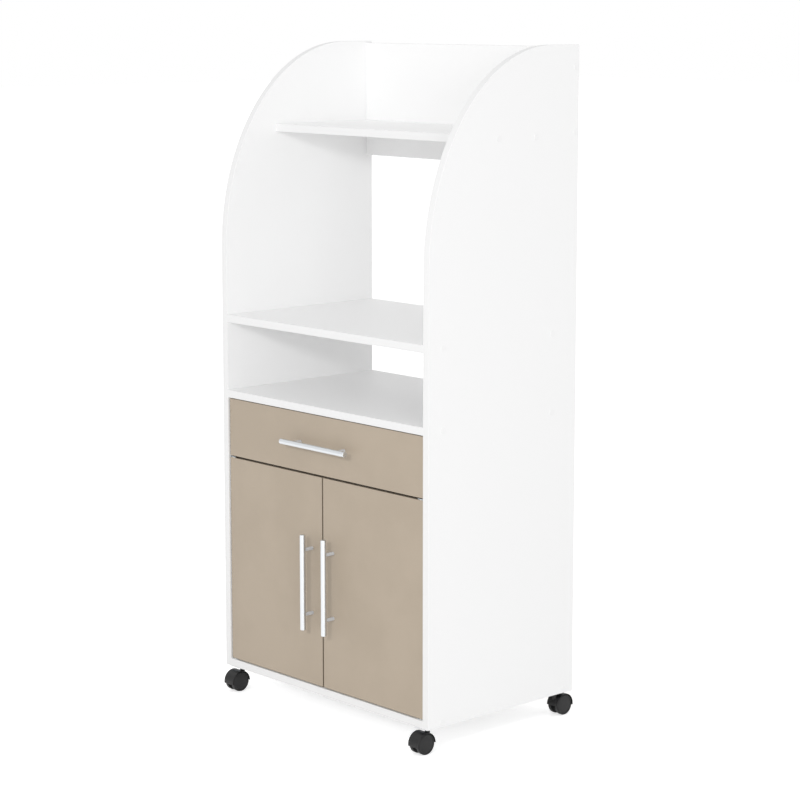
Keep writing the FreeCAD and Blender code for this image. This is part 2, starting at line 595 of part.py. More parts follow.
# ---------------------------------------------------------------- doors
def door(side, sign):
    """An inset door with a bored bush at each end of its pivot line and a strike plate."""
    x = -INNER_X + S.side_gap if sign < 0 else S.centre_gap / 2
    pin = S.pin_inset if sign < 0 else DOOR_WIDTH - S.pin_inset
    leaf = board(f"door_{side}", (DOOR_WIDTH, S.front_thickness, S.door_height), (x, FACE, BASE + DOOR_BASE))
    for offset, back in ((None, True), (S.door_height, False)):
        sk = sketch(leaf, "XY_Plane", offset)
        circle(sk, pin, S.pin_setback, S.bush_diameter / 2)
        pocket(leaf, sk, S.bush_length, back)
    tag = side.title()
    sleeves, bores = [], []
    for end, level, flange in (("Low", 0, -S.flange_thickness),
                               ("High", S.door_height - S.bush_length, S.door_height)):
        sleeves += [
            primitive("Cylinder", f"Bush{end}{tag}",
                      {"Radius": S.bush_diameter / 2, "Height": S.bush_length}, (0, 0, level)),
            primitive("Cylinder", f"Flange{end}{tag}",
                      {"Radius": S.flange_diameter / 2, "Height": S.flange_thickness}, (0, 0, flange)),
        ]
        bores.append(primitive(
            "Cylinder", f"BushBore{end}{tag}",
            {"Radius": S.pin_diameter / 2 + S.running_clearance,
             "Height": S.bush_length + S.flange_thickness + 2},
            (0, 0, as_size(level) - 1 - (S.flange_thickness if end == "Low" else 0))))
    fused(f"pivot_bushes_{side}", sleeves, bores,
          (sign * PIN_X, FACE + S.pin_setback, BASE + DOOR_BASE))
    strike_x = S.centre_gap / 2 + S.strike_inset
    board(f"strike_plate_{side}", (S.strike_width, S.strike_thickness, S.strike_height),
          (-strike_x - S.strike_width if sign < 0 else strike_x, FRONT + FRONT_BACK,
           BASE + DOOR_TOP - S.strike_height - S.strike_drop))


# ---------------------------------------------------------------- bar handles
def handle(prefix, x, z, rotation):
    """A round bar on two posts; the bar lies along Z before it is turned."""
    bar = body(f"{prefix}_bar")
    sk = sketch(bar, "XY_Plane")
    circle(sk, 0, 0, BAR_RADIUS)
    rod = pad(bar, sk, S.handle_length)
    doc.recompute()
    ends = [f"Edge{n}" for n, e in enumerate(rod.Shape.Edges, 1) if isinstance(e.Curve, Part.Circle)]
    trim = bar.newObject("PartDesign::Chamfer", f"{bar.Name}Chamfer")
    trim.Base = (rod, ends)
    trim.Size = S.bar_chamfer.value
    trim.setExpression("Size", S.bar_chamfer.text)
    first = (S.handle_length - S.handle_centres) / 2
    sk = sketch(bar, "XZ_Plane", -BAR_RADIUS)
    for level in (first, first + S.handle_centres):
        circle(sk, 0, level, S.post_diameter / 2 + S.running_clearance)
    pocket(bar, sk, S.post_socket, True)
    reach = S.handle_length / 2
    corner = (x - reach, z) if rotation is ALONG_X else (x, z - reach)
    place(bar, corner[0], FACE - BAR_LINE, corner[1], rotation)
    half = S.handle_centres / 2
    ends = [(-half, 0), (half, 0)] if rotation is ALONG_X else [(0, -half), (0, half)]
    tag = prefix.title().replace("_", "")
    fused(f"{prefix}_posts", [
        primitive("Cylinder", f"{tag}Post{n}",
                  {"Radius": S.post_diameter / 2, "Height": BAR_LINE - BAR_RADIUS + S.post_socket},
                  (dx, 0, dz), ALONG_Y)
        for n, (dx, dz) in enumerate(ends)
    ], corner=(x, FACE - BAR_LINE + BAR_RADIUS - S.post_socket, z))


UPRIGHT = FreeCAD.Rotation()
HANDLE_X = S.centre_gap / 2 + S.handle_edge_inset
for side, sign in (("left", -1), ("right", 1)):
    door(side, sign)
    handle(f"{side}_handle", sign * HANDLE_X, BASE + DOOR_BASE + S.door_height / 2, UPRIGHT)
handle("drawer_handle", as_size(0), BASE + DRAWER_BASE + S.drawer_front_height / 2, ALONG_X)


# ---------------------------------------------------------------- casters
HALF_WEB = S.caster_web / 2
HALF_CASTER = HALF_WEB + S.wheel_gap + S.wheel_width + S.wheel_gap
HOOD_SWEEP = 190  # degrees, from the stem's side over the top to just below the axle
WHEEL_BORE = S.wheel_width - S.face_recess - S.face_thickness  # how deep the axle's bore goes
AXLE_HALF = HALF_WEB + S.wheel_gap + WHEEL_BORE - S.axle_end_gap
CASTERS = [(f"{row}_{side}", sign, facing) for row, facing in (("front", 1), ("rear", -1))
           for side, sign in (("left", -1), ("right", 1))]


def caster_spot(sign, facing):
    """X and Y of a caster's stem; the wheels trail towards the cart's nearer end."""
    y = FRONT + S.caster_end_inset if facing > 0 else FRONT + S.panel_depth - S.caster_end_inset
    return sign * (S.cart_width / 2 - S.caster_side_inset), y


def across(tag, radius, half, y, z, sweep=None, turn=None):
    """A cylinder, or a slice of one, with its axis along X and centred on X = 0."""
    sizes = {"Radius": radius, "Height": 2 * half}
    if sweep:
        sizes["Angle"] = sweep
    return primitive("Cylinder", tag, sizes, (-half, y, z), turn or ALONG_X)


def housing(name, sign, facing):
    """Hood, centre web and stem boss in one moulding, with bores for the stem and the axle."""
    tag = name.title().replace("_", "")
    axle = -S.caster_trail
    # a slice starts on the cylinder's own +X; these turn that to the stem's side, sweeping over the top
    sweep_turn = FreeCAD.Rotation(Vector(0, 1, 0), Vector(0, 0, 1), Vector(1, 0, 0), "XYZ")
    hood = doc.addObject("Part::Cut", f"Hood{tag}")
    hood.Base = across(f"HoodOuter{tag}", HOOD_OUTER, HALF_CASTER, axle, AXLE_LEVEL, HOOD_SWEEP, sweep_turn)
    hood.Tool = across(f"HoodInner{tag}", HOOD_INNER, HALF_CASTER + 1, axle, AXLE_LEVEL)
    boss = primitive("Cylinder", f"Boss{tag}", {"Radius": HALF_WEB, "Height": HOUSING_TOP - AXLE_LEVEL},
                     (0, 0, AXLE_LEVEL))
    web = across(f"Web{tag}", HOOD_OUTER - S.web_step, HALF_WEB, axle, AXLE_LEVEL, HOOD_SWEEP, sweep_turn)
    hub = across(f"Hub{tag}", S.caster_hub_diameter / 2, HALF_WEB, axle, AXLE_LEVEL)
    stem = primitive("Cylinder", f"StemBore{tag}",
                     {"Radius": S.stem_diameter / 2 + S.running_clearance,
                      "Height": S.stem_length + S.mount_plate_thickness},
                     (0, 0, HOUSING_TOP - S.stem_length))
    bore = across(f"AxleBore{tag}", S.axle_diameter / 2, HALF_WEB + 1, axle, AXLE_LEVEL)
    x, y = caster_spot(sign, facing)
    turn = UPRIGHT if facing > 0 else FreeCAD.Rotation(Vector(0, 0, 1), 180)
    return fused(f"caster_housing_{name}", [hood, boss, web, hub], [stem, bore], (x, y, 0), turn)


def wheel(name, sign, facing, outward):
    """One of the twin wheels: rounded tread, a closed outer face in a raised rim, and a blind bore."""
    new = body(f"caster_wheel_{name}_{'outer' if outward == sign else 'inner'}")
    width, radius = S.wheel_width, S.wheel_diameter / 2
    bore = S.axle_diameter / 2 + S.running_clearance
    sk = sketch(new, "XZ_Plane")
    rim, face = radius - S.rim_chamfer, width - S.face_recess
    polygon(sk, [(0, bore), (0, radius - S.tread_chamfer), (S.tread_chamfer, radius),
                 (width - S.rim_chamfer, radius), (width, rim), (width, rim - S.rim_width),
                 (face, rim - S.rim_width - S.face_slope), (face, 0), (WHEEL_BORE, 0), (WHEEL_BORE, bore)])
    revolve(new, sk)
    x, y = caster_spot(sign, facing)
    inner = HALF_WEB + S.wheel_gap
    turn = UPRIGHT if outward > 0 else FreeCAD.Rotation(Vector(0, 0, 1), 180)
    return place(new, x + outward * inner, y - facing * S.caster_trail, AXLE_LEVEL, turn)


plates = []
for name, sign, facing in CASTERS:
    tag = name.title().replace("_", "")
    x, y = caster_spot(sign, facing)
    plates += [
        primitive("Box", f"MountPlate{tag}",
                  {"Length": S.mount_plate_size, "Width": S.mount_plate_size,
                   "Height": S.mount_plate_thickness},
                  (x - S.mount_plate_size / 2, y - S.mount_plate_size / 2,
                   BASE - S.mount_plate_thickness)),
        primitive("Cylinder", f"Stem{tag}",
                  {"Radius": S.stem_diameter / 2, "Height": S.stem_length},
                  (x, y, BASE - S.stem_length - S.lap)),
    ]
    housing(name, sign, facing)
    axle = body(f"caster_axle_{name}")
    sk = sketch(axle, "YZ_Plane")
    circle(sk, 0, 0, S.axle_diameter / 2)
    pad(axle, sk, 2 * AXLE_HALF)
    place(axle, x - AXLE_HALF, y - facing * S.caster_trail, AXLE_LEVEL)
    for outward in (-1, 1):
        wheel(name, sign, facing, outward)
fused("caster_mount_plates", plates)

# ---------------------------------------------------------------- check and export
doc.recompute()
for thing in doc.Objects:
    faults = [word for word in thing.State if word in ("Invalid", "Error")]
    if faults:
        raise RuntimeError(f"{thing.Label} is {faults}")
for thing in parts:
    if thing.Shape.isNull() or not thing.Shape.isValid():
        raise RuntimeError(f"{thing.Label} has no valid shape")
    thing.Shape.exportStep(os.path.join("parts", f"{thing.Label}.step"))
    box = thing.Shape.BoundBox
    print(f"{thing.Label:32s} x {box.XMin:8.2f} {box.XMax:8.2f}  y {box.YMin:8.2f} {box.YMax:8.2f}  "
          f"z {box.ZMin:8.2f} {box.ZMax:8.2f}  {thing.Shape.Volume / 1000:9.2f} cm3  "
          f"{len(thing.Shape.Solids)} solids")
print(len(parts), "parts")
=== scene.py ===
# %% [markdown]
# # Dressing a microwave cart
# The cart is a tall, open carcass of white melamine-faced chipboard on four twin-wheel casters.
# Below the counter it has a drawer and two doors in a warm grey, each with a round bar handle.
# The imported CAD model comes in first, as the frame. It says how large every part is, where it is
# and which body carries it. A finished piece then takes the place of a CAD part: it rides on the
# same body and stays inside the same box.

# %% Load the frame
import json
import math

import bpy
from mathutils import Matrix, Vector

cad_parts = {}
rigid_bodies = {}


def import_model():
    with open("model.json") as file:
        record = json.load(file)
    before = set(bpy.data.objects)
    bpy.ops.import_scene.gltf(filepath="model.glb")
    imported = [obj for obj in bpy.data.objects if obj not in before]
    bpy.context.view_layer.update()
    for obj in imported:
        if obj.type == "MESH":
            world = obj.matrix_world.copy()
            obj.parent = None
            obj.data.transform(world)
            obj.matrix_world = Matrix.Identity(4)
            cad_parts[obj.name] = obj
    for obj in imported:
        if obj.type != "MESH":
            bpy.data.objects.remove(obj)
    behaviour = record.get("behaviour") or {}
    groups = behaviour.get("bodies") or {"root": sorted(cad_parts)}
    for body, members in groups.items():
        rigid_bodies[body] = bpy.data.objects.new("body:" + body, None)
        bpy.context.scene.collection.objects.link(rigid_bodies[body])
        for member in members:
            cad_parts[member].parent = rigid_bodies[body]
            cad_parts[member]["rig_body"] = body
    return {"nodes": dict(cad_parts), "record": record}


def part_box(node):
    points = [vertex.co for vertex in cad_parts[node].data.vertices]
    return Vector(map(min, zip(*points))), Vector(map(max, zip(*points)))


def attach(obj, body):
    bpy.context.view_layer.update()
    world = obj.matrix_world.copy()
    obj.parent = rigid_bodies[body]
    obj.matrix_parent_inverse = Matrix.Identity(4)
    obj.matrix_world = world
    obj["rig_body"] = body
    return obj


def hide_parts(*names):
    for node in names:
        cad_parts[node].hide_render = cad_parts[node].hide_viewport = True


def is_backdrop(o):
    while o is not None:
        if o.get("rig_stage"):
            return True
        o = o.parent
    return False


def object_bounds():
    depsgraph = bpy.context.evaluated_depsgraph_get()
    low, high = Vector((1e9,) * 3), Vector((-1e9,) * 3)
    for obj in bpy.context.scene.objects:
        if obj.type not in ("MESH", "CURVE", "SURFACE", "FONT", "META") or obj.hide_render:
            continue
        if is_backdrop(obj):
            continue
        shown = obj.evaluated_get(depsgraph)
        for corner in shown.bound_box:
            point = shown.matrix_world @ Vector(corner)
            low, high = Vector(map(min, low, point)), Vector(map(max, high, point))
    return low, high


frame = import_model()
cad_low, cad_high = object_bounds()
slot_of = {part["node"]: part["material_slot"] for part in frame["record"]["subparts"]}
print("the cart measures", [round(side * 1000, 1) for side in cad_high - cad_low], "mm")

# %% [markdown]
# ## Colours and shader nodes
# Colours are written as people read them, in sRGB hex, but a renderer adds up light, so it needs
# linear values. One function turns the one into the other, and every colour goes through it.
# A second function adds one shader node with its settings and links, a third links a node that is
# already there, and a fourth starts a material. Whatever is the same all over a surface is set
# straight on the shader's own sockets.


# %% Colour
def linear(hex_colour):
    """An sRGB hex colour as the linear red, green, blue and alpha that shaders use."""
    channels = [int(hex_colour[i:i + 2], 16) / 255 for i in (1, 3, 5)]
    return [c / 12.92 if c <= 0.04045 else ((c + 0.055) / 1.055) ** 2.4 for c in channels] + [1]


WHITE = "#F8F8F8"
print("the boards' white in linear light:", [round(c, 3) for c in linear(WHITE)])


# %% Nodes and materials
def add(holder, kind, inputs=None, **settings):
    """Adds a node to a material or the world. An input is a value, or an output to link from."""
    node = holder.node_tree.nodes.new(kind)
    for name, value in settings.items():
        setattr(node, name, value)
    for name, value in (inputs or {}).items():
        if isinstance(value, bpy.types.NodeSocket):
            link(holder, value, node, name)
        else:
            node.inputs[name].default_value = value
    return node


def link(holder, output, node, socket):
    """Links an output to one socket of a node."""
    holder.node_tree.links.new(output, node.inputs[socket])


def material_of(name, colour, roughness, metallic=0):
    """A material with the values that are the same all over; returned with its shader."""
    material = bpy.data.materials.new(name)
    material.use_nodes = True
    shader = material.node_tree.nodes["Principled BSDF"]
    shader.inputs["Base Color"].default_value = linear(colour)
    shader.inputs["Roughness"].default_value = roughness
    shader.inputs["Metallic"].default_value = metallic
    return material, shader


# %% [markdown]
# ## A fine grain that every moulded or pressed surface has
# Melamine is paper soaked in resin and pressed on the board by a steel plate with a fine pearl
# texture. Moulded plastic and powder coat have a grain of their own. A very shallow bump from a
# noise gives all of them the soft, slightly broken shine that tells them from glass. An image of
# the texture could do it too, but a noise needs no file and has no seams. The scale is one over
# the size of a grain in metres, because the noise repeats about once per unit.
# Printed, plated and raw surfaces also drift between two close colours. The same noise gives
# that, sent through a colour ramp.


# %% Grain and mottle
def grain(material, shader, size, depth, stretch=(1, 1, 1)):
    """A noise bump on object coordinates: size and depth in metres, stretch along X, Y and Z."""
    place = add(material, "ShaderNodeTexCoord")
    scaled = add(material, "ShaderNodeMapping", {"Vector": place.outputs["Object"],
                                                 "Scale": [1 / s for s in stretch]})
    noise = add(material, "ShaderNodeTexNoise",
                {"Vector": scaled.outputs["Vector"], "Scale": 1 / size, "Detail": 3})
    bump = add(material, "ShaderNodeBump", {"Height": noise.outputs["Fac"], "Distance": depth})
    link(material, bump.outputs["Normal"], shader, "Normal")


def mottle(material, shader, size, first, second):
    """A slow drift between two close colours, with patches of the size given in metres."""
    place = add(material, "ShaderNodeTexCoord")
    noise = add(material, "ShaderNodeTexNoise",
                {"Vector": place.outputs["Object"], "Scale": 1 / size, "Detail": 4})
    ramp = add(material, "ShaderNodeValToRGB", {"Fac": noise.outputs["Fac"]})
    for stop, position, colour in zip(ramp.color_ramp.elements, (0.4, 0.6), (first, second)):
        stop.position, stop.color = position, linear(colour)
    link(material, ramp.outputs["Color"], shader, "Base Color")


# %% [markdown]
# ## Board finishes
# White melamine, pressed with a pearl texture: a neutral white with a satin shine. The real grain
# is about 0.5 mm, too fine for a picture of the whole cart, so it is drawn at 1.5 mm.
# The fronts have the same board in a warm grey. The cut edges carry a band of ABS, 0.8 mm thick,
# glued on and trimmed: smooth, and a touch glossier than the faces. Both bands are drawn darker
# than their faces as painted shade. On the white boards this stands for the dimmer light on the
# front edges. On the fronts it stands for the shade in the gaps round them, so that those gaps
# read as crisp lines.

# %% Melamine and edge band
PEARL, BAND_WAVE = 0.0015, 0.004
white_melamine, shader = material_of("white_melamine_face", WHITE, roughness=0.45)
grain(white_melamine, shader, size=PEARL, depth=0.00004)

warm_grey_melamine, shader = material_of("warm_grey_melamine", "#B0A290", roughness=0.45)
grain(warm_grey_melamine, shader, size=PEARL, depth=0.00004)
mottle(warm_grey_melamine, shader, size=0.12, first="#AEA08E", second="#B2A492")

# The band is drawn darker than the white face as painted shade: it stands for the dimmer light on the
# front edges.
white_band_with_painted_shade, shader = material_of("white_abs_band_with_painted_shade", "#EDEDED", roughness=0.38)
grain(white_band_with_painted_shade, shader, size=BAND_WAVE, depth=0.00003)

# The band is drawn darker than the warm grey face as painted shade, so that the gaps round the fronts
# look shaded.
warm_grey_band_with_painted_shade, shader = material_of("warm_grey_abs_band_with_painted_shade", "#958979", roughness=0.38)
grain(warm_grey_band_with_painted_shade, shader, size=BAND_WAVE, depth=0.00003)
print("board finishes:", white_melamine.name, warm_grey_melamine.name)

# %% [markdown]
# ## Raw edges and hardboard
# Behind, where no one looks, the boards' edges are left sawn. Chipboard is pressed wood chips of
# 2 to 5 mm, pale and dark side by side, so its colour comes from Voronoi cells of 3 mm.
# The thin back and the drawer's bottom are hardboard: pressed wood fibre, lacquered white on the
# side that shows and left brown, with a faint weave from the press cloth, on the other.

# %% Chipboard
CHIP = 0.003
chipboard, shader = material_of("sawn_chipboard", "#B99468", roughness=0.9)
place = add(chipboard, "ShaderNodeTexCoord")
chips = add(chipboard, "ShaderNodeTexVoronoi", {"Vector": place.outputs["Object"], "Scale": 1 / CHIP})
tones = add(chipboard, "ShaderNodeValToRGB", {"Fac": chips.outputs["Color"]})
for stop, position, colour in zip(tones.color_ramp.elements, (0.15, 0.85), ("#94714A", "#D6B88C")):
    stop.position, stop.color = position, linear(colour)
link(chipboard, tones.outputs["Color"], shader, "Base Color")
grain(chipboard, shader, size=0.002, depth=0.0004)
print("raw edge:", chipboard.name, "in chips of", CHIP * 1000, "mm")

# %% Hardboard and drawer foil
brown_hardboard, shader = material_of("brown_hardboard", "#86664A", roughness=0.8)
mottle(brown_hardboard, shader, size=0.0025, first="#80614A", second="#8C6B4E")
grain(brown_hardboard, shader, size=0.002, depth=0.0001, stretch=(1, 1, 3))

white_hardboard, shader = material_of("white_lacquered_hardboard", "#F2F2F0", roughness=0.4)
grain(white_hardboard, shader, size=0.02, depth=0.0001)

drawer_foil, shader = material_of("white_foiled_drawer_board", "#ECECEA", roughness=0.5)
grain(drawer_foil, shader, size=PEARL, depth=0.00003)
print("thin boards:", brown_hardboard.name, white_hardboard.name, drawer_foil.name)

# %% [markdown]
# ## Metals
# The bar handles are nickel-plated steel, brushed before plating. Their bump is drawn out twelve
# times along X, the way the drawer's bar lies, and along Z, the way the doors' bars stand.
# Their posts are cast zinc with an aluminium lacquer: flakes of metal in a clear binder, so they
# scatter light like paint and stay pale grey beside the warm fronts. Hinge plates, caster plates
# and screws are bright zinc plate, a bluish grey with faint clouds. Pins and axles are plain
# turned steel. Metals keep the default IOR.

# %% Nickel, lacquer, zinc and steel
nickel, shader = material_of("satin_nickel", "#D9DCDF", roughness=0.34, metallic=1)
grain(nickel, shader, size=0.0006, depth=0.00002, stretch=(12, 1, 12))

post_lacquer, shader = material_of("aluminium_lacquer", "#D4D8DE", roughness=0.4, metallic=0.3)
grain(post_lacquer, shader, size=0.0008, depth=0.00001)

zinc, shader = material_of("bright_zinc", "#C3C7CC", roughness=0.35, metallic=1)
mottle(zinc, shader, size=0.004, first="#B7BCC2", second="#CBCFD3")

steel, shader = material_of("turned_steel", "#B4B5B7", roughness=0.3, metallic=1)
grain(steel, shader, size=0.0008, depth=0.00001)
print("metals:", nickel.name, post_lacquer.name, zinc.name, steel.name)

# %% [markdown]
# ## Plastics, powder coat and wood
# Caster hoods and wheels are black nylon from a spark-eroded mould: dark, not quite black, with a
# fine matt grain that spreads the highlight, so they also shine less than polished plastic.
# Rollers and hinge bushes are natural nylon, which is milky. Screw caps and the catch are white
# ABS, a little glossier. The runners are steel with a white powder coat, whose slight orange peel
# is 2 mm across. The dowels are beech.

# %% Plastics, powder coat and beech
MATT_SHINE = 0.35
black_nylon, shader = material_of("black_nylon_moulding", "#141415", roughness=0.34)
shader.inputs["Specular IOR Level"].default_value = MATT_SHINE
grain(black_nylon, shader, size=0.0007, depth=0.00004)

black_tread, shader = material_of("black_wheel_nylon", "#121213", roughness=0.42)
shader.inputs["Specular IOR Level"].default_value = MATT_SHINE
grain(black_tread, shader, size=0.0007, depth=0.00005)

natural_nylon, shader = material_of("natural_nylon", "#E9E5DA", roughness=0.4)
grain(natural_nylon, shader, size=0.003, depth=0.00003)

white_abs, shader = material_of("white_abs", "#F6F6F6", roughness=0.36)
grain(white_abs, shader, size=0.001, depth=0.00002)

powder_coat, shader = material_of("white_powder_coat", "#E9E9E7", roughness=0.42)
grain(powder_coat, shader, size=0.002, depth=0.00008)

beech, shader = material_of("beech", "#D2AE84", roughness=0.7)
mottle(beech, shader, size=0.004, first="#C99F72", second="#DBB98F")
print("plastics:", black_nylon.name, natural_nylon.name, white_abs.name, powder_coat.name)

# %% [markdown]
# ## Starting a piece
# Every piece starts from a primitive at its real size and place. What is added along Z is turned
# to look along another axis. Place and turn go straight into the mesh, so the object itself stays
# at the origin, as the CAD parts do.

# %% Primitives at their place
UPRIGHT, UPSIDE_DOWN, HALF_TURN = (0, 0, 0), (math.pi, 0, 0), (0, 0, math.pi)
TOWARD_X, TOWARD_MINUS_X = (0, math.pi / 2, 0), (0, -math.pi / 2, 0)
TOWARD_Y, TOWARD_MINUS_Y = (-math.pi / 2, 0, 0), (math.pi / 2, 0, 0)


def into_mesh(piece):
    """Moves the object's place, turn and size into its mesh."""
    bpy.ops.object.select_all(action="DESELECT")
    piece.select_set(True)
    bpy.context.view_layer.objects.active = piece
    bpy.ops.object.transform_apply(location=True, rotation=True, scale=True)
    return piece


def start(primitive, name, scale=(1, 1, 1), **where):
    """Adds a primitive with nothing else selected, with its place and scale in its mesh."""
    bpy.ops.object.select_all(action="DESELECT")
    primitive(**where)
    bpy.context.object.name = name
    bpy.context.object.scale = scale
    return into_mesh(bpy.context.object)


def block(name, low, high):
    """A box between two corners."""
    return start(bpy.ops.mesh.primitive_cube_add, name, Vector(high) - Vector(low), size=1,
                 location=(Vector(low) + Vector(high)) / 2)


def rod(name, radius, length, middle, turn=UPRIGHT, sides=48):
    """A cylinder along Z before it is turned."""
    return start(bpy.ops.mesh.primitive_cylinder_add, name, vertices=sides, radius=radius,
                 depth=length, location=middle, rotation=turn)


# %% [markdown]
# ## Selecting in code
# By hand, faces are clicked on. In a script they are chosen by what is true of them, such as the
# way they look or how high they lie. A face counts as looking along an axis when nine tenths of
# its normal lie along it. After a change, doubled points are merged and every face is turned
# outwards.

# %% Select, leave and close
SAME_POINT = 1e-6
FACING = 0.9


def leave():
    """Leaves edit mode, so that the script sees the changed mesh."""
    bpy.ops.object.mode_set(mode="OBJECT")


def pick(piece, test=lambda item: True, kind="FACE"):
    """Opens edit mode with only the faces, edges or vertices selected that pass the test."""
    bpy.ops.object.mode_set(mode="EDIT")
    bpy.ops.mesh.select_mode(type=kind)
    bpy.ops.mesh.select_all(action="DESELECT")
    leave()
    mesh = piece.data
    for item in {"FACE": mesh.polygons, "EDGE": mesh.edges, "VERT": mesh.vertices}[kind]:
        item.select = bool(test(item))
    bpy.ops.object.mode_set(mode="EDIT")


def close():
    """Merges doubled points, turns every face outwards and leaves edit mode."""
    bpy.ops.mesh.select_all(action="SELECT")
    bpy.ops.mesh.remove_doubles(threshold=SAME_POINT)
    bpy.ops.mesh.normals_make_consistent(inside=False)
    leave()


# %% [markdown]
# ## Eased edges
# No real edge is perfectly sharp, and its thin rounding is what catches the light. A bevel
# modifier rounds every edge that turns by more than 30 degrees. Weighted normals then keep the
# wide faces flat while the small roundings shade smoothly.

# %% Ease and shade
SHARP = math.radians(30)


def ease(piece, width, segments=2):
    """Rounds every sharp edge."""
    rounding = piece.modifiers.new("rounding", "BEVEL")
    rounding.width, rounding.segments = width, segments
    rounding.limit_method, rounding.angle_limit = "ANGLE", SHARP
    bpy.ops.object.modifier_apply(modifier=rounding.name)


def shade(piece, angle=50):
    """Smooth roundings beside flat faces."""
    bpy.ops.object.shade_smooth_by_angle(angle=math.radians(angle))
    weighting = piece.modifiers.new("weighting", "WEIGHTED_NORMAL")
    weighting.keep_sharp = True
    bpy.ops.object.modifier_apply(modifier=weighting.name)


# %% [markdown]
# ## Finish and hand-over
# A board has one finish on its faces and another on its edges, so faces are painted by the way
# they look. Here six tenths of the normal are enough, so that the half of a rounding next to the
# edge is painted with it. A finished piece is then handed over: it takes the CAD part's body and
# place.

# %% Paint and hand over
MOSTLY = 0.6


def paint(piece, everywhere, **toward):
    """One material all over, and others on the faces that look along an axis, such as minus_y."""
    piece.data.materials.append(everywhere)
    for name, material in toward.items():
        sign = -1 if name.startswith("minus_") else 1
        piece.data.materials.append(material)
        for face in piece.data.polygons:
            if sign * getattr(face.normal, name[-1]) > MOSTLY:
                face.material_index = len(piece.data.materials) - 1


def hand_over(piece, node):
    """The piece takes over from this CAD node: same body, and the node isn't shown."""
    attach(piece, frame["nodes"][node]["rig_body"])
    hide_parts(node)


# %% [markdown]
# ## Boards
# A flat-pack board is a sawn rectangle, so a cube stretched to the CAD part's box is the natural
# start. The edges are eased by 0.5 mm, which is what the band trimmer leaves. The ABS band could
# be a thin piece of its own, but only its colour shows, so it is painted on the edge. Front edges
# have it, and the upper back's top and bottom edges. At the back, the edges of the bottom board,
# the counter, the microwave shelf and the inner shelf are left sawn, as is usual where no one
# looks.

# %% Carcass boards
EASE = 0.0005


def board(name, node, faces, **edges):
    """A board in the CAD part's box, with its own finish on the edges named."""
    piece = block(name, *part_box(node))
    ease(piece, EASE)
    shade(piece)
    paint(piece, faces, **edges)
    hand_over(piece, node)


for name, node in (("bottom_board", "bottom_panel"), ("counter_board", "counter_panel"),
                   ("microwave_shelf_board", "microwave_shelf")):
    board(name, node, white_melamine, minus_y=white_band_with_painted_shade, y=chipboard)
board("top_shelf_board", "top_shelf", white_melamine, minus_y=white_band_with_painted_shade)
board("inner_shelf_board", "inner_shelf", white_melamine, minus_y=white_band_with_painted_shade, y=chipboard)
board("upper_back_board", "upper_back_panel", white_melamine, z=white_band_with_painted_shade, minus_z=white_band_with_painted_shade)
board("front_rail", "front_stretcher", white_melamine, minus_y=white_band_with_painted_shade)
board("cabinet_back", "cabinet_back_panel", white_hardboard, y=brown_hardboard)

# %% [markdown]
# ## Side boards with a rounded front corner
# The sides are cut on a router from one board, with a quarter of an oval where the front meets
# the top, 312 mm deep and 400 mm high. A drawn outline would do, but the same shape comes quickly
# by hand: bisect an oval disc twice to leave its quarter, extrude the quarter's straight edges
# down and back to the panel's other corners, and extrude the whole face by the board's thickness.

# %% The router's outline
CORNER_DEPTH, CORNER_HEIGHT, OVAL_POINTS = 0.312, 0.400, 192
IN_LINE = math.radians(0.5)


def routed_outline(name, low, high):
    """The board's side view as one flat face, with no points left along its straight edges."""
    centre = Vector((low.x, low.y + CORNER_DEPTH, high.z - CORNER_HEIGHT))
    piece = start(bpy.ops.mesh.primitive_circle_add, name, (CORNER_HEIGHT, CORNER_DEPTH, 1),
                  vertices=OVAL_POINTS, radius=1, fill_type="NGON", location=centre,
                  rotation=TOWARD_X)
    for normal, cut in (((0, 1, 0), "clear_outer"), ((0, 0, 1), "clear_inner")):
        pick(piece)
        bpy.ops.mesh.bisect(plane_co=centre, plane_no=normal, **{cut: True})
        leave()
    for axis, level, move in ((2, centre.z, (0, 0, low.z - centre.z)),
                              (1, centre.y, (0, high.y - centre.y, 0))):
        points = piece.data.vertices
        pick(piece, lambda edge: all(abs(points[v].co[axis] - level) < SAME_POINT
                                     for v in edge.vertices), "EDGE")
        bpy.ops.mesh.extrude_region_move(TRANSFORM_OT_translate={"value": move})
        leave()
    pick(piece)
    bpy.ops.mesh.dissolve_limited(angle_limit=IN_LINE)
    leave()
    print(name, "has", len(piece.data.vertices), "points in its outline")
    return piece


# %% Side boards
SIDEWAYS = 0.5


def side_board(name, node):
    """The outline, then the board's thickness. Its faces look sideways and its edges don't."""
    low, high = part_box(node)
    piece = routed_outline(name, low, high)
    pick(piece)
    bpy.ops.mesh.extrude_region_move(TRANSFORM_OT_translate={"value": (high.x - low.x, 0, 0)})
    close()
    ease(piece, EASE)
    shade(piece)
    piece.data.materials.append(white_melamine)
    piece.data.materials.append(white_band_with_painted_shade)
    for face in piece.data.polygons:
        face.material_index = 1 if abs(face.normal.x) < SIDEWAYS else 0
    hand_over(piece, node)


side_board("left_side_board", "side_panel_left")
side_board("right_side_board", "side_panel_right")

# %% [markdown]
# ## Things that repeat
# Caps, screws and casters are each modelled once and copied, and every copy gets its own mesh.
# Where caps, posts and caster plates go is read from the CAD part: its mesh falls into loose
# parts, and the middle of each is a place. Points that agree to a hundredth of a millimetre are
# one point, and points that share a face belong to one loose part.

# %% Places, read from the CAD part
DECIMALS = 5


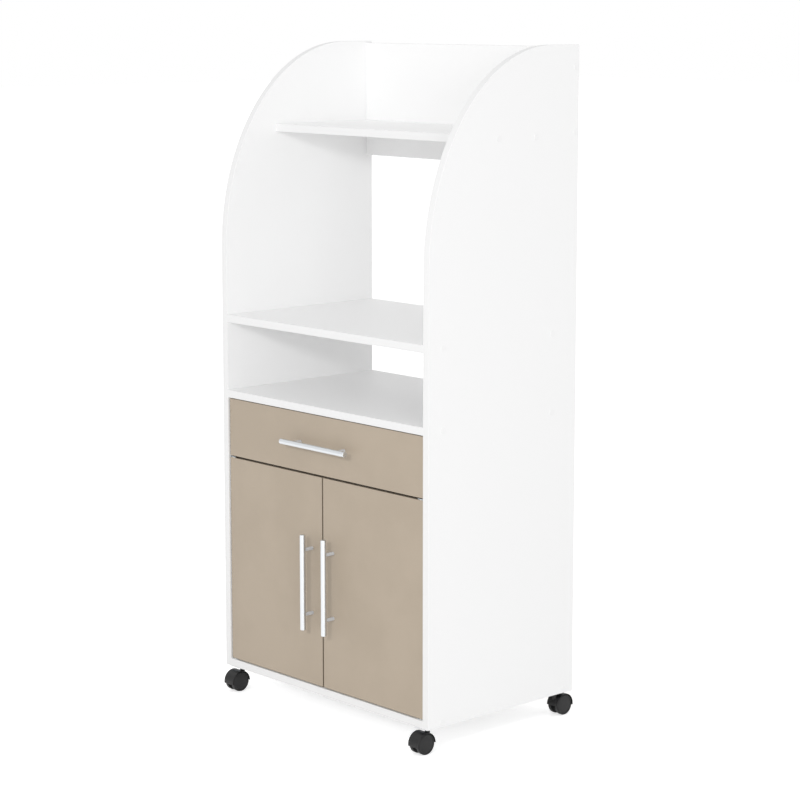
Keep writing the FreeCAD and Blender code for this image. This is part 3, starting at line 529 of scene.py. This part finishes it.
def islands(node):
    """The middle of each loose part of a CAD node, found by walking its mesh."""
    mesh = frame["nodes"][node].data
    keys = [tuple(round(c, DECIMALS) for c in v.co) for v in mesh.vertices]
    parent = {key: key for key in keys}

    def root(key):
        while parent[key] != key:
            key = parent[key]
        return key

    for face in mesh.polygons:
        first = root(keys[face.vertices[0]])
        for v in face.vertices[1:]:
            parent[root(keys[v])] = first
    groups = {}
    for key in parent:
        groups.setdefault(root(key), []).append(Vector(key))
    boxes = [(Vector(map(min, *group)), Vector(map(max, *group))) for group in groups.values()]
    return sorted(((low + high) / 2 for low, high in boxes), key=tuple)


cap_places = islands("screw_caps")
print(len(cap_places), "screw caps")


# %% Copies and joins
def copy_of(model, name, place, turn=UPRIGHT):
    """A copy with its own mesh, turned and moved into place."""
    new = model.copy()
    new.data = model.data.copy()
    new.name = name
    bpy.context.collection.objects.link(new)
    new.location, new.rotation_euler = place, turn
    return into_mesh(new)


def joined(name, pieces):
    """Several pieces as one mesh."""
    bpy.ops.object.select_all(action="DESELECT")
    for piece in pieces:
        piece.select_set(True)
    bpy.context.view_layer.objects.active = pieces[0]
    bpy.ops.object.join()
    pieces[0].name = name
    return pieces[0]


# %% [markdown]
# ## Screw caps
# Ten white caps on each side cover the joining screws. They press into the screws' recesses and
# stand 0.8 mm proud. A cap is a low cylinder with a rounded rim and a shallow dish, and the dish
# comes from insetting its end face and pushing the middle in. The cap is modelled at the origin,
# and the copies are turned to look outwards, to the left or the right.

# %% Screw caps
CAP_RADIUS, CAP_HEIGHT, CAP_RIM, CAP_DISH, CAP_EASE = 0.006, 0.0008, 0.0012, 0.00015, 0.0002
model = rod("cap_model", CAP_RADIUS, CAP_HEIGHT, (0, 0, 0))
pick(model, lambda face: face.normal.z > FACING)
bpy.ops.mesh.inset(thickness=CAP_RIM)
bpy.ops.transform.translate(value=(0, 0, -CAP_DISH))
bpy.ops.mesh.inset(thickness=CAP_RIM / 2)
close()
ease(model, CAP_EASE)
shade(model)
paint(model, white_abs)
caps = [copy_of(model, f"cap_{count}", spot, TOWARD_X if spot.x > 0 else TOWARD_MINUS_X)
        for count, spot in enumerate(cap_places)]
bpy.data.objects.remove(model)
hand_over(joined("white_screw_caps", caps), "screw_caps")

# %% [markdown]
# ## Doors, drawer front and drawer box
# The fronts are the same board in warm grey, banded on all four edges, so the same helper makes
# them. The drawer's sides and back are thinner board wrapped in white foil, and its bottom is a
# hardboard sheet that sits in grooves, white above and brown below.

# %% Fronts and drawer box
BANDED = dict.fromkeys(("x", "minus_x", "z", "minus_z"), warm_grey_band_with_painted_shade)
board("left_door", "door_left", warm_grey_melamine, **BANDED)
board("right_door", "door_right", warm_grey_melamine, **BANDED)
board("drawer_face", "drawer_front", warm_grey_melamine, **BANDED)
for side in ("left", "right"):
    board(f"drawer_{side}_wall", f"drawer_side_{side}", drawer_foil)
board("drawer_rear_wall", "drawer_back", drawer_foil)
board("drawer_floor", "drawer_bottom", white_hardboard, minus_z=brown_hardboard)

# %% [markdown]
# ## Bar handles
# A handle is a round steel bar, held off the front by two round posts that are screwed from
# behind. All three are round on the real thing, so they start as cylinders. The bar's end edges
# are rounded by 0.8 mm, as on the lathe, and the posts end in the bar's side.

# %% Handle bars and posts
BAR_END, POST_EASE = 0.0008, 0.0003
for handle in ("left_handle", "right_handle", "drawer_handle"):
    low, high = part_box(f"{handle}_bar")
    size = high - low
    lying = size.x > size.z
    piece = rod(f"{handle}_grip", min(size) / 2, max(size), (low + high) / 2,
                TOWARD_X if lying else UPRIGHT, sides=64)
    ease(piece, BAR_END, segments=3)
    shade(piece)
    paint(piece, nickel)
    hand_over(piece, f"{handle}_bar")
    low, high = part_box(f"{handle}_posts")
    posts = []
    for spot in islands(f"{handle}_posts"):
        post = rod("post", min(high - low) / 2, high.y - low.y, spot, TOWARD_MINUS_Y, sides=32)
        ease(post, POST_EASE)
        shade(post)
        paint(post, post_lacquer)
        posts.append(post)
    hand_over(joined(f"{handle}_standoffs", posts), f"{handle}_posts")

# %% [markdown]
# ## Pan-head screws
# Screws hold the handles from behind, the runners, the hinge plates and the caster plates. A pan
# head is a short cylinder with a well-rounded rim. A boolean could cut its cross recess, but it
# leaves thin, uneven faces. Here the recess starts as a circle of points: those between the four
# arms are drawn in, and the star that is left is pushed down and narrows a little. The sizes
# differ from screw to screw, so the rim and the recess are given as shares of the head's height,
# and the flat edge round the cross as a share of its radius.

# %% Shape of a screw head
SCREW_SIDES, HALF_ARM_DEGREES = 24, 16
RIM_PER_HEIGHT, RECESS_PER_HEIGHT, EDGE_PER_RADIUS = 0.45, 0.6, 0.12
WAIST, TAPER = 0.45, 0.6


def off_axis(point):
    """How many degrees a point lies from the nearest of the four directions of the cross."""
    return abs((math.degrees(math.atan2(point.y, point.x)) + 45) % 90 - 45)


def is_top(face):
    """True for the one face that looks up and has all of the head's points."""
    return face.normal.z > FACING and len(face.vertices) == SCREW_SIDES


# %% One screw head
def screw_model(radius, height):
    """A pan head on the XY plane, looking along +Z."""
    model = rod("screw_model", radius, height, (0, 0, height / 2), sides=SCREW_SIDES)
    pick(model, is_top)
    bpy.ops.mesh.bevel(offset=height * RIM_PER_HEIGHT, segments=3, affect="EDGES")
    leave()
    pick(model, is_top)
    bpy.ops.mesh.inset(thickness=radius * EDGE_PER_RADIUS)
    leave()
    inner = {v for face in model.data.polygons if face.select for v in face.vertices}
    pick(model, lambda v: v.index in inner and off_axis(v.co) > HALF_ARM_DEGREES, "VERT")
    bpy.ops.transform.resize(value=(WAIST, WAIST, 1))
    leave()
    pick(model, is_top)
    depth = height * RECESS_PER_HEIGHT
    bpy.ops.mesh.extrude_region_move(TRANSFORM_OT_translate={"value": (0, 0, -depth)})
    bpy.ops.transform.resize(value=(TAPER, TAPER, 1))
    close()
    shade(model, angle=40)
    paint(model, zinc)
    return model


# %% Screws behind the handles
def screws(name, body, radius, height, places):
    """Pan heads at places, each a point and the turn of its axis, as one piece on a body."""
    model = screw_model(radius, height)
    heads = [copy_of(model, f"head_{n}", spot, turn) for n, (spot, turn) in enumerate(places)]
    bpy.data.objects.remove(model)
    piece = joined(name, heads)
    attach(piece, body)
    print(f"{name}: {len(places)} heads on {body}")


for handle, front, body in (("left_handle", "door_left", "left_door"),
                            ("right_handle", "door_right", "right_door"),
                            ("drawer_handle", "drawer_front", "drawer")):
    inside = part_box(front)[1].y
    screws(f"{handle}_screws", body, radius=0.0042, height=0.0022,
           places=[(Vector((spot.x, inside, spot.z)), TOWARD_Y)
                   for spot in islands(f"{handle}_posts")])

# %% [markdown]
# ## Runners and rollers
# The folded runners come over from CAD as they are, because a fold in thin steel is already its
# plain section. They get their powder coat later, and the screws that hold them here. The rollers
# are remade, because a moulded nylon roller has rounded rims and recessed ends. A spun profile
# would do, but insetting and pushing in both ends of a cylinder gives the same in three steps.

# %% One roller
ROLLER_RIM, ROLLER_RECESS, ROLLER_EASE = 0.0015, 0.0008, 0.0004


def roller(end, side):
    """A roller in the CAD roller's box, with both its ends recessed."""
    low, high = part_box(f"{end}_roller_{side}")
    piece = rod(f"{end}_{side}_roller", (high.z - low.z) / 2, high.x - low.x, (low + high) / 2,
                TOWARD_X)
    pick(piece, lambda face: abs(face.normal.x) > FACING)
    bpy.ops.mesh.inset(thickness=ROLLER_RIM, use_individual=True)
    bpy.ops.mesh.inset(thickness=ROLLER_RECESS, depth=-ROLLER_RECESS, use_individual=True)
    close()
    ease(piece, ROLLER_EASE)
    shade(piece)
    paint(piece, natural_nylon)
    hand_over(piece, f"{end}_roller_{side}")


# %% Rollers and runner screws on both sides
RUNNER_SHEET, FROM_FRONT_END = 0.0012, (0.060, 0.175, 0.290)
for side, turn in (("left", TOWARD_X), ("right", TOWARD_MINUS_X)):
    roller("front", side)
    roller("rear", side)
    low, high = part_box(f"fixed_runner_{side}")
    web = low.x + RUNNER_SHEET if side == "left" else high.x - RUNNER_SHEET
    screws(f"{side}_runner_screws", "cart", radius=0.0035, height=0.0012,
           places=[(Vector((web, low.y + reach, (low.z + high.z) / 2)), turn)
                   for reach in FROM_FRONT_END])

# %% [markdown]
# ## Hinge plates and catch
# The doors turn on pins at their outer corners. The steel plates that carry the pins are screwed
# to the bottom board and to the rail. Midway, a magnetic catch holds both doors: a white case
# with steel pole plates that stand out a little, facing the strike plates on the doors. Case and
# poles are blocks with eased edges, joined because the catch is one part in the CAD model.

# %% Catch
POLE_PROUD, POLE_DEPTH = 0.0006, 0.002
HALF_POLE = Vector((0.007, 0, 0.0008))
MAGNET_FROM_MIDDLE, POLE_FROM_EDGE = 0.01175, 0.0035
CASE_EASE, POLE_EASE = 0.0008, 0.0002
low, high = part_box("magnetic_catch")
case = block("case", low + Vector((0, POLE_PROUD, 0)), high)
ease(case, CASE_EASE, segments=3)
shade(case)
paint(case, white_abs)
poles = []
for x in (-MAGNET_FROM_MIDDLE, MAGNET_FROM_MIDDLE):
    for level in (low.z + POLE_FROM_EDGE, high.z - POLE_FROM_EDGE):
        front = Vector((x, low.y, level))
        pole = block("pole", front - HALF_POLE, front + HALF_POLE + Vector((0, POLE_DEPTH, 0)))
        ease(pole, POLE_EASE)
        shade(pole)
        paint(pole, steel)
        poles.append(pole)
hand_over(joined("magnetic_door_catch", [case] + poles), "magnetic_catch")

# %% Hinge-plate screws
HINGE_SHEET, HINGE_SCREW_X, FROM_REAR_END = 0.0012, 0.2755, (0.009, 0.025)
places = []
for node, turn in (("lower_pivot_plates", UPRIGHT), ("upper_pivot_plates", UPSIDE_DOWN)):
    low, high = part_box(node)
    level = low.z + HINGE_SHEET if turn == UPRIGHT else high.z - HINGE_SHEET
    for x in (-HINGE_SCREW_X, HINGE_SCREW_X):
        for reach in FROM_REAR_END:
            places.append((Vector((x, high.y - reach, level)), turn))
screws("hinge_plate_screws", "cart", radius=0.0032, height=0.0007, places=places)

# %% [markdown]
# ## Caster housings
# A hooded twin-wheel caster is one moulding: a hood that curves over both wheels, a web between
# them, a hub for the axle and a boss for the stem. The hood could be a tube cut open with a
# boolean, but a flat section swept with spin about the axle has clean ends at once, and the web
# is made the same way. One caster is modelled with its stem on the Z axis, and the four copies
# are turned so that the wheels trail towards the nearer end of the cart.

# %% Caster sizes, read from the frame
TRAIL, HOOD_WALL = 0.014, 0.0014
low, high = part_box("caster_wheel_front_left_outer")
WHEEL_RADIUS, WHEEL_WIDTH = (high.z - low.z) / 2, high.x - low.x
AXLE = Vector((0, -TRAIL, WHEEL_RADIUS))
low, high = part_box("caster_housing_front_right")
HALF_HOUSING, HOUSING_TOP, STEM_X = (high.x - low.x) / 2, high.z, (low.x + high.x) / 2
HOOD_OUTER = (high.y - low.y) / 2
print(f"wheel {WHEEL_RADIUS * 2000:.1f} mm across, hood {HOOD_OUTER * 1000:.1f} mm in radius")

# %% A section swept about the axle
HOOD_SWEEP, HOOD_STEPS = math.radians(190), 38


def swept(name, inner, outer, half_width):
    """A ring section on the stem's side of the axle, spun over the top of the wheels."""
    piece = start(bpy.ops.mesh.primitive_plane_add, name, (2 * half_width, outer - inner, 1),
                  size=1, location=AXLE + Vector((0, (inner + outer) / 2, 0)))
    pick(piece)
    bpy.ops.mesh.spin(steps=HOOD_STEPS, angle=HOOD_SWEEP, center=AXLE, axis=(-1, 0, 0))
    close()
    return piece


# %% One housing
HALF_WEB, WEB_BORE, WEB_SET_BACK, HUB_RADIUS = 0.005, 0.0026, 0.0005, 0.009
HOOD_EASE, RIB_EASE = 0.0005, 0.0004
hood = swept("hood", HOOD_OUTER - HOOD_WALL, HOOD_OUTER, HALF_HOUSING)
ease(hood, HOOD_EASE, segments=3)
web = swept("web", WEB_BORE, HOOD_OUTER - WEB_SET_BACK, HALF_WEB)
hub = rod("hub", HUB_RADIUS, 2 * HALF_WEB, AXLE, TOWARD_X)
boss = rod("boss", HALF_WEB, HOUSING_TOP - AXLE.z, (0, 0, (HOUSING_TOP + AXLE.z) / 2))
for piece in (web, hub, boss):
    bpy.context.view_layer.objects.active = piece
    ease(piece, RIB_EASE)
for piece in (hood, web, hub, boss):
    into_mesh(piece)
    pick(piece)
    close()
    shade(piece)
    paint(piece, black_nylon)
housing = joined("housing_model", [hood, web, hub, boss])
print("housing reaches", [round(c * 1000, 1) for c in housing.dimensions], "mm")

# %% [markdown]
# ## Caster wheels
# A wheel is a short cylinder with a rounded outer shoulder. Its closed face lies in a raised rim,
# made by insetting the cap and pushing the middle back, and swells slightly, as the moulded disc
# does. One wheel is modelled with its inner face at the origin, looking along X.

# %% One wheel
WHEEL_SIDES, SHOULDER, INNER_EDGE = 72, 0.002, 0.0012
RIM_WIDTH, RIM_SLOPE, DISC_DEPTH = 0.0012, 0.0006, 0.0008
DISC_SWELL = ((0.003, 0.00022), (0.004, 0.00016), (0.005, 0.00008))
wheel = rod("wheel_model", WHEEL_RADIUS, WHEEL_WIDTH, (WHEEL_WIDTH / 2, 0, 0), TOWARD_X, WHEEL_SIDES)
pick(wheel, lambda face: face.normal.x > FACING)
bpy.ops.mesh.bevel(offset=SHOULDER, segments=4, affect="EDGES")
leave()
pick(wheel, lambda face: face.normal.x < -FACING)
bpy.ops.mesh.bevel(offset=INNER_EDGE, segments=2, affect="EDGES")
leave()
pick(wheel, lambda face: face.normal.x > FACING and len(face.vertices) == WHEEL_SIDES)
bpy.ops.mesh.inset(thickness=RIM_WIDTH)
bpy.ops.mesh.inset(thickness=RIM_SLOPE)
bpy.ops.transform.translate(value=(-DISC_DEPTH, 0, 0))
for inset, rise in DISC_SWELL:
    bpy.ops.mesh.inset(thickness=inset)
    bpy.ops.transform.translate(value=(rise, 0, 0))
close()
shade(wheel, angle=40)
paint(wheel, black_tread)
print("wheel:", len(wheel.data.polygons), "faces")

# %% Four casters
for row, facing in (("front", 1), ("rear", -1)):
    for side, sign in (("left", -1), ("right", 1)):
        low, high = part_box(f"caster_wheel_{row}_{side}_outer")
        axle_y = (low.y + high.y) / 2
        spot = Vector((sign * STEM_X, axle_y + facing * TRAIL, 0))
        piece = copy_of(housing, f"{row}_{side}_caster_housing", spot,
                        UPRIGHT if facing > 0 else HALF_TURN)
        hand_over(piece, f"caster_housing_{row}_{side}")
        for place in ("inner", "outer"):
            node = f"caster_wheel_{row}_{side}_{place}"
            low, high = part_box(node)
            looks_right = (low.x + high.x) / 2 > spot.x
            inner_face = Vector((low.x if looks_right else high.x, axle_y, AXLE.z))
            piece = copy_of(wheel, f"{row}_{side}_{place}_wheel", inner_face,
                            UPRIGHT if looks_right else HALF_TURN)
            hand_over(piece, node)
bpy.data.objects.remove(housing)
bpy.data.objects.remove(wheel)

# %% [markdown]
# ## Caster plates
# Each caster hangs from a square zinc plate with rounded corners and a screw in each corner. The
# stem below the plate is riveted in, and the housing's boss turns round it. A block with its
# upright edges bevelled gives the plate, and a cylinder gives the stem.

# %% Plates, stems and their screws
PLATE, PLATE_THICKNESS, PLATE_CORNER, PLATE_EASE = 0.038, 0.002, 0.005, 0.0003
SCREW_REACH, STEM_RADIUS, STEM_BELOW_TOP = 0.0135, 0.003, 0.0005
low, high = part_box("caster_mount_plates")
bottom, plate_top, stem_top = low.z, high.z, high.z - STEM_BELOW_TOP
corner = Vector((PLATE / 2, PLATE / 2, 0))
plates, places = [], []
for spot in islands("caster_mount_plates"):
    top = Vector((spot.x, spot.y, plate_top))
    plate = block("plate", top - corner - Vector((0, 0, PLATE_THICKNESS)), top + corner)
    points = plate.data.vertices
    pick(plate, lambda edge: abs(points[edge.vertices[0]].co.z
                                 - points[edge.vertices[1]].co.z) > PLATE_THICKNESS / 2, "EDGE")
    bpy.ops.mesh.bevel(offset=PLATE_CORNER, segments=6, affect="EDGES")
    close()
    ease(plate, PLATE_EASE)
    stem = rod("stem", STEM_RADIUS, stem_top - bottom, (spot.x, spot.y, (stem_top + bottom) / 2))
    for piece in (plate, stem):
        into_mesh(piece)
        shade(piece)
        paint(piece, zinc)
        plates.append(piece)
    for dx in (-SCREW_REACH, SCREW_REACH):
        for dy in (-SCREW_REACH, SCREW_REACH):
            places.append((top + Vector((dx, dy, -PLATE_THICKNESS)), UPSIDE_DOWN))
hand_over(joined("caster_plates", plates), "caster_mount_plates")
screws("caster_plate_screws", "cart", radius=0.0034, height=0.0014, places=places)

# %% [markdown]
# ## CAD parts that stay
# Some parts are already what they should look like: folded runners, pins, axles, bushes, hinge
# and strike plates, and the hidden joining screws and dowels. They keep their CAD mesh and only
# get a finish.

# %% Finish for the parts that stay
FINISH = {"zinc_steel": zinc, "pin_steel": steel, "axle_steel": steel, "runner_steel": powder_coat,
          "roller_nylon": natural_nylon, "beech_dowel": beech}
for node, thing in frame["nodes"].items():
    if not thing.hide_render:
        thing.data.materials.clear()
        thing.data.materials.append(FINISH[slot_of[node]])
        print(f"{node} stays, in {FINISH[slot_of[node]].name}")

# %% [markdown]
# ## Studio
# A pale floor and a plain white world, as in a catalogue picture. What the camera and mirror-like
# surfaces see of them is white, while the light that they give stays even and below full
# strength, so colours render about as they are written.


# %% What is seen directly
def seen_directly(holder):
    """1 for rays from the camera and for reflections and glass, 0 for light on the object."""
    rays = add(holder, "ShaderNodeLightPath")
    total = rays.outputs["Is Camera Ray"]
    for name in ("Is Glossy Ray", "Is Transmission Ray"):
        total = add(holder, "ShaderNodeMath", {0: total, 1: rays.outputs[name]},
                    operation="ADD", use_clamp=True).outputs[0]
    return total


# %% World
AMBIENT = 0.75
world = bpy.data.worlds.new("white_studio")
world.use_nodes = True
bpy.context.scene.world = world
background = world.node_tree.nodes["Background"]
background.inputs["Color"].default_value = linear("#FFFFFF")
strength = add(world, "ShaderNodeMapRange",
               {"Value": seen_directly(world), "To Min": AMBIENT, "To Max": 1})
link(world, strength.outputs["Result"], background, "Strength")
print("world strength on the object:", AMBIENT)

# %% Floor
FLOOR_GLOW, FLOOR_SIZE = 0.55, 60
floor = start(bpy.ops.mesh.primitive_plane_add, "studio_floor", size=FLOOR_SIZE)
floor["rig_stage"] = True
floor_paint, shader = material_of("studio_floor_paint", "#F0F0F0", roughness=0.9)
lift = add(floor_paint, "ShaderNodeMath", {0: seen_directly(floor_paint), 1: FLOOR_GLOW},
           operation="MULTIPLY")
glow = add(floor_paint, "ShaderNodeEmission",
           {"Color": linear("#FFFFFF"), "Strength": lift.outputs[0]})
both = add(floor_paint, "ShaderNodeAddShader",
           {0: shader.outputs["BSDF"], 1: glow.outputs["Emission"]})
link(floor_paint, both.outputs[0], floor_paint.node_tree.nodes["Material Output"], "Surface")
floor.data.materials.append(floor_paint)
print("floor:", FLOOR_SIZE, "m wide, with a glow of", FLOOR_GLOW)

# %% [markdown]
# ## Softboxes
# One small softbox stands in front, a little to the right and above, and throws the handles' soft
# shadows on the doors. A wider one stands lower and further to the right, and reaches into the
# niches. Both are weak beside the even light of the world. A softbox's share is how much it adds
# to a surface that faces it, and its watts follow from that and its distance.


# %% Softboxes
def softbox(name, azimuth, elevation, distance, size, share):
    """A square light aimed at the cart's middle, with its azimuth counted from the front."""
    around, up = math.radians(azimuth), math.radians(elevation)
    toward = Vector((math.sin(around) * math.cos(up), -math.cos(around) * math.cos(up), math.sin(up)))
    target = Vector((0, 0, (cad_low.z + cad_high.z) / 2))
    lamp = bpy.data.lights.new(name, "AREA")
    lamp.size = size
    lamp.energy = share * math.pi ** 2 * distance ** 2
    thing = bpy.data.objects.new(name, lamp)
    bpy.context.collection.objects.link(thing)
    thing.location = target + distance * toward
    thing.rotation_euler = toward.to_track_quat("Z", "Y").to_euler()
    thing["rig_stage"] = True
    print(name, "at", [round(c, 2) for c in thing.location], round(lamp.energy), "W")


softbox("front_softbox", azimuth=25, elevation=20, distance=6, size=0.6, share=0.23)
softbox("corner_softbox", azimuth=60, elevation=8, distance=6, size=2, share=0.13)

# %% [markdown]
# ## Camera
# The picture was taken from the front right, from a little above the cart's top. The lens is
# long, about 105 mm, and the camera stands 4.5 m away. It looks down by 9 degrees, so the
# upright edges lean together by a few pixels. A level camera with a large lens shift would keep
# them parallel, as the picture does, but every other view keeps the shift and would lose the
# cart's top, so only a small shift is used.

# %% Camera
SENSOR_MM, LENS_MM, SHIFT_DOWN = 36, 104.81, 0.05
LOOKS_DOWN, LOOKS_LEFT = 0.1513, 0.8315
camera = bpy.data.cameras.new("camera")
camera.sensor_width, camera.lens = SENSOR_MM, LENS_MM
camera.shift_y = -SHIFT_DOWN
camera.clip_end = 200
viewer = bpy.data.objects.new("camera", camera)
viewer.location = (3.3246, -3.0137, 1.3736)
viewer.rotation_euler = (math.pi / 2 - LOOKS_DOWN, 0, LOOKS_LEFT)
bpy.context.collection.objects.link(viewer)
bpy.context.scene.camera = viewer
bpy.context.scene.view_settings.view_transform = "Standard"
print("the camera looks down by", round(math.degrees(LOOKS_DOWN), 1), "degrees")

# %% [markdown]
# ## The finished model's box
# Dressing must not change the cart's size, so the box of the finished model is printed.

# %% The finished model's box
low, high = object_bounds()
print("visual model:", [round(c * 1000, 1) for c in low], "to", [round(c * 1000, 1) for c in high])
